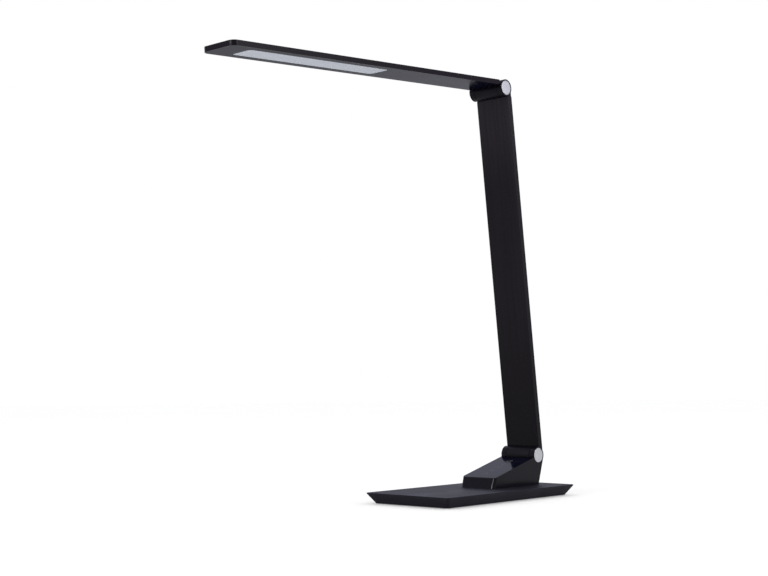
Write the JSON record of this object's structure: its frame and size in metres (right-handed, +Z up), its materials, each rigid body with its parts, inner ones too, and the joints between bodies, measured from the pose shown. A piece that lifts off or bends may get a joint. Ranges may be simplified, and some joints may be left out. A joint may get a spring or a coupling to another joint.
{
  "type": "folding desk lamp",
  "caption": "Folding desk lamp: a flat light bar on a flat stem, with friction hinges at both ends of the stem, a touch panel on a wedge pedestal and a weighted rectangular base plate.",
  "frame": {"origin": "on the desk, under the middle of the base plate, at the underside of the non-slip pad", "axes": "+Z up; -Y towards the front, where the light bar points; +X along the hinge axes, to the right hand of someone who sits in front of the lamp and looks at it"},
  "size_m": [0.102, 0.4219, 0.4153],
  "materials": {
    "base_black": "satin",
    "ballast_steel": "satin",
    "cover_black": "matte",
    "screw_steel": "satin",
    "pad_rubber": "matte",
    "housing_black": "satin",
    "panel_gloss": "gloss",
    "spring_steel": "satin",
    "board_green": "satin",
    "component_black": "matte",
    "inlet_black": "satin",
    "pin_steel": "satin",
    "washer_polymer": "matte",
    "cap_silver": "satin",
    "anodised_black": "satin",
    "casting_black": "satin",
    "screw_black": "satin",
    "cable_red": "satin",
    "diffuser_milk": "satin",
    "guide_clear": "gloss",
    "reflector_white": "satin",
    "strip_white": "matte",
    "led_yellow": "gloss"
  },
  "bodies": {
    "base": {"base_shell": "base_black", "ballast_plate": "ballast_steel", "bottom_cover": "cover_black", "cover_screws": "screw_steel", "non_slip_pad": "pad_rubber", "pedestal_housing": "housing_black", "pedestal_screws": "screw_steel", "touch_panel": "panel_gloss", "touch_springs": "spring_steel", "touch_board": "board_green", "touch_board_screws": "screw_steel", "driver_board": "board_green", "driver_components": "component_black", "driver_board_screws": "screw_steel", "power_inlet": "inlet_black", "lower_hinge_pin": "pin_steel", "lower_friction_washers": "washer_polymer", "lower_disc_springs": "spring_steel", "lower_hinge_nut": "screw_steel", "lower_cap_right": "cap_silver", "lower_cap_left": "cap_silver"},
    "stem": {"stem_tube": "anodised_black", "stem_knuckle": "casting_black", "stem_yoke": "casting_black", "stem_screws": "screw_black", "stem_cable": "cable_red", "upper_hinge_pin": "pin_steel", "upper_friction_washers": "washer_polymer", "upper_disc_springs": "spring_steel", "upper_hinge_nut": "screw_steel", "upper_cap_right": "cap_silver", "upper_cap_left": "cap_silver"},
    "head": {"head_knuckle": "casting_black", "head_shell": "anodised_black", "head_screws": "screw_steel", "head_bezel": "panel_gloss", "diffuser": "diffuser_milk", "light_guide": "guide_clear", "reflector_sheet": "reflector_white", "led_strips": "strip_white", "leds": "led_yellow", "head_cable": "cable_red"}
  },
  "joints": [
    {"name": "base_hinge", "type": "hinge", "parent": "base", "child": "stem", "pos_m": [0, 0.08045, 0.0395], "axis": [1, 0, 0], "range_deg": [-35, 62]},
    {"name": "head_hinge", "type": "hinge", "parent": "stem", "child": "head", "pos_m": [0, 0.03664, 0.4069], "axis": [1, 0, 0], "range_deg": [-87, 93.5]}
  ]
}
